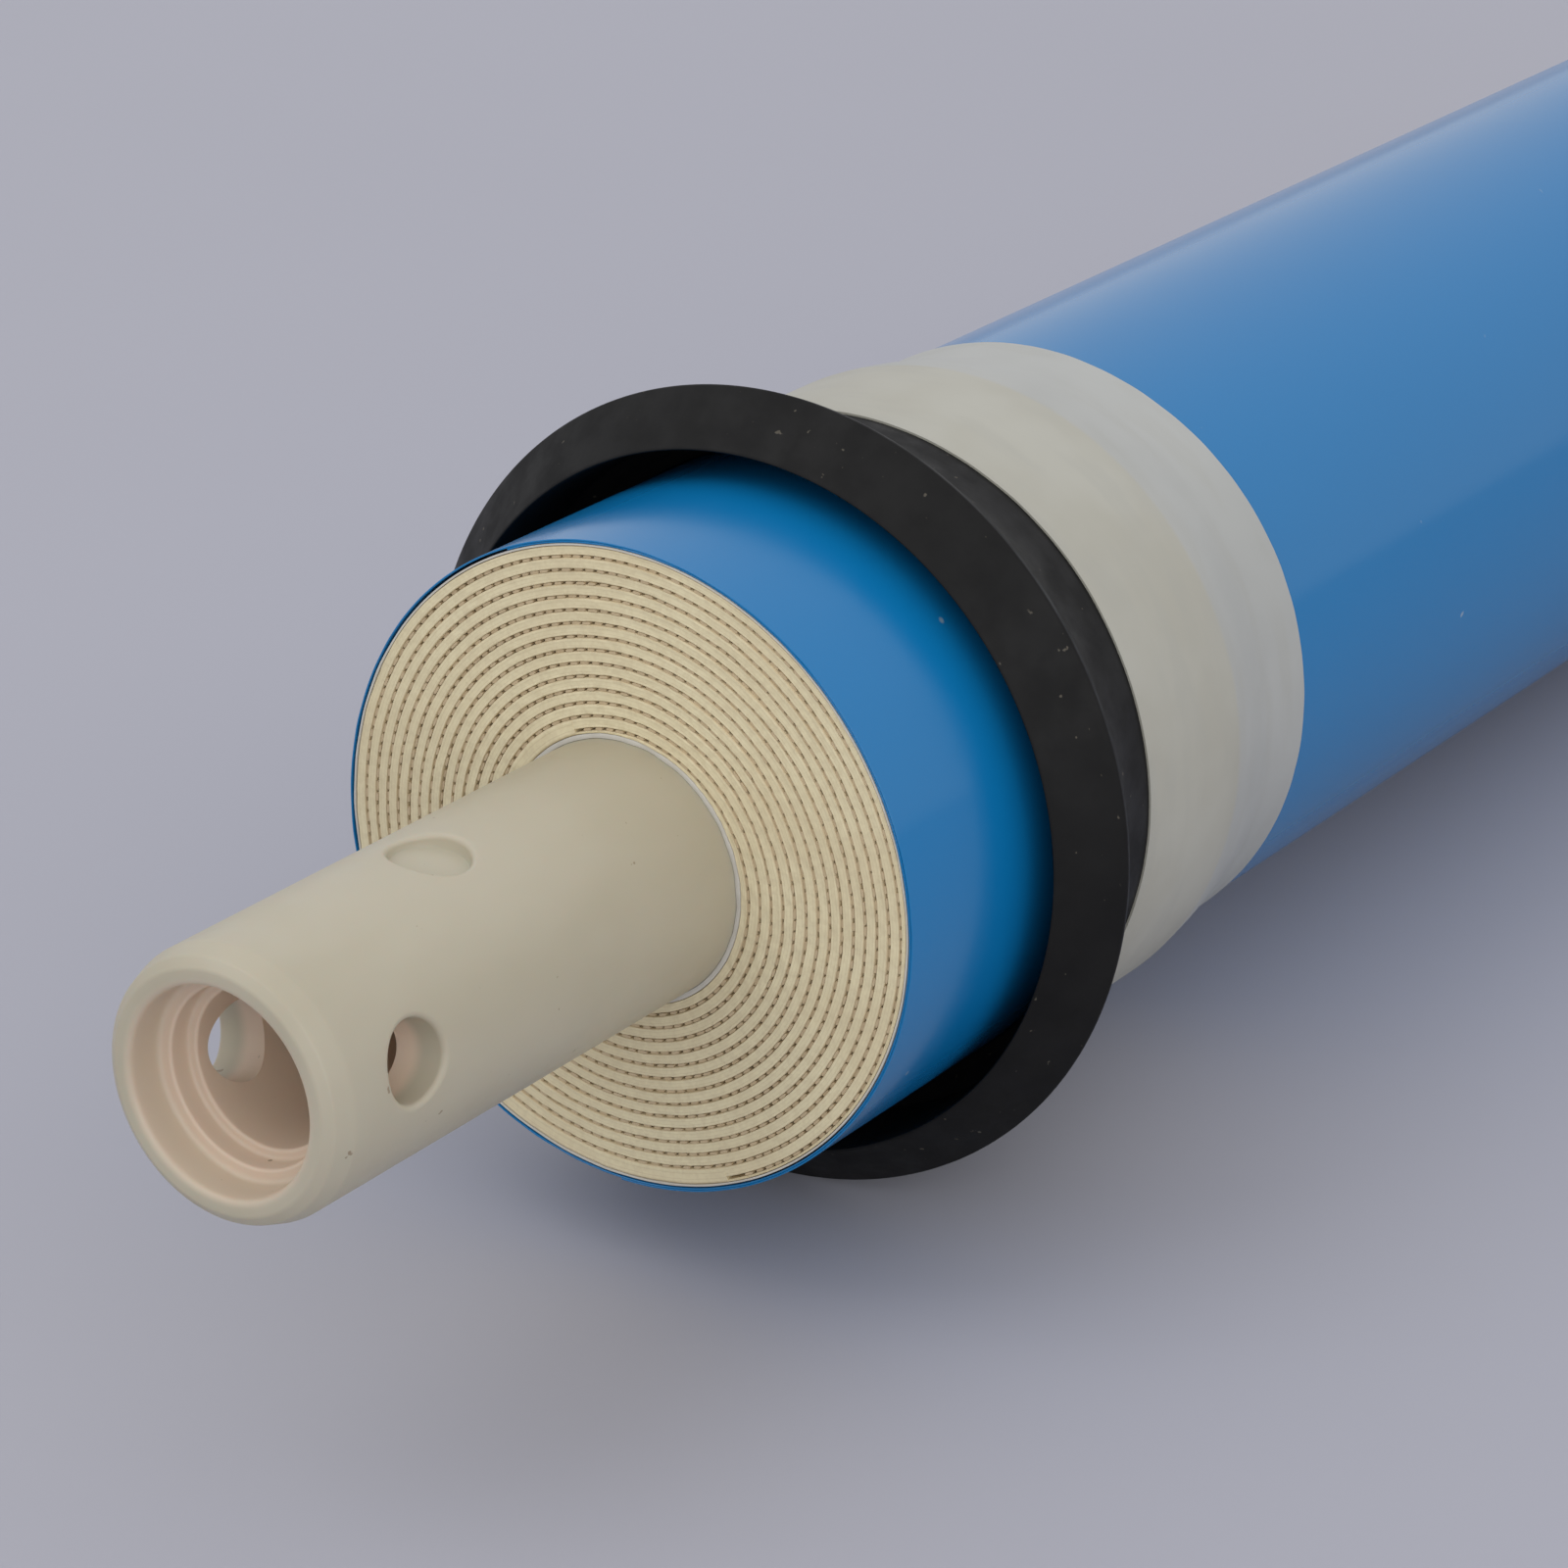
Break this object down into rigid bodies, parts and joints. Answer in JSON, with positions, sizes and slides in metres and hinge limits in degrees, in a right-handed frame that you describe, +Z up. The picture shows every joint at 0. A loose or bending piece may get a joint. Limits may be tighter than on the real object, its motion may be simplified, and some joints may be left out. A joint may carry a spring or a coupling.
{
  "type": "reverse osmosis membrane element",
  "caption": "Spiral-wound water membrane cartridge: a wound pack on a hollow product tube, in a blue film wrap, with a flared rubber brine seal, tape band and O-ring outlet stub.",
  "frame": {"origin": "on the element's axis, midway between the two ends of the permeate tube", "axes": "+X along the element's axis towards the product outlet with the O-rings, -X towards the feed end with the brine seal, +Z up"},
  "size_m": [0.298, 0.0564, 0.0564],
  "materials": {
    "tube_plastic": "satin moulded ivory plastic",
    "carrier_fabric": "off-white knitted fabric",
    "membrane": "cream cut sheet edges",
    "white_tape": "white tape",
    "blue_film": "glossy blue film",
    "seal_rubber": "matt black rubber with dust",
    "grey_tape": "satin grey-white tape",
    "ring_rubber": "black rubber"
  },
  "bodies": {
    "root": {"permeate_tube": "tube_plastic", "permeate_carrier": "carrier_fabric", "membrane_pack": "membrane", "leaf_tape": "white_tape", "outer_wrap": "blue_film", "brine_seal": "seal_rubber", "seal_tape": "grey_tape", "o_ring_inner": "ring_rubber", "o_ring_outer": "ring_rubber"}
  },
  "joints": []
}
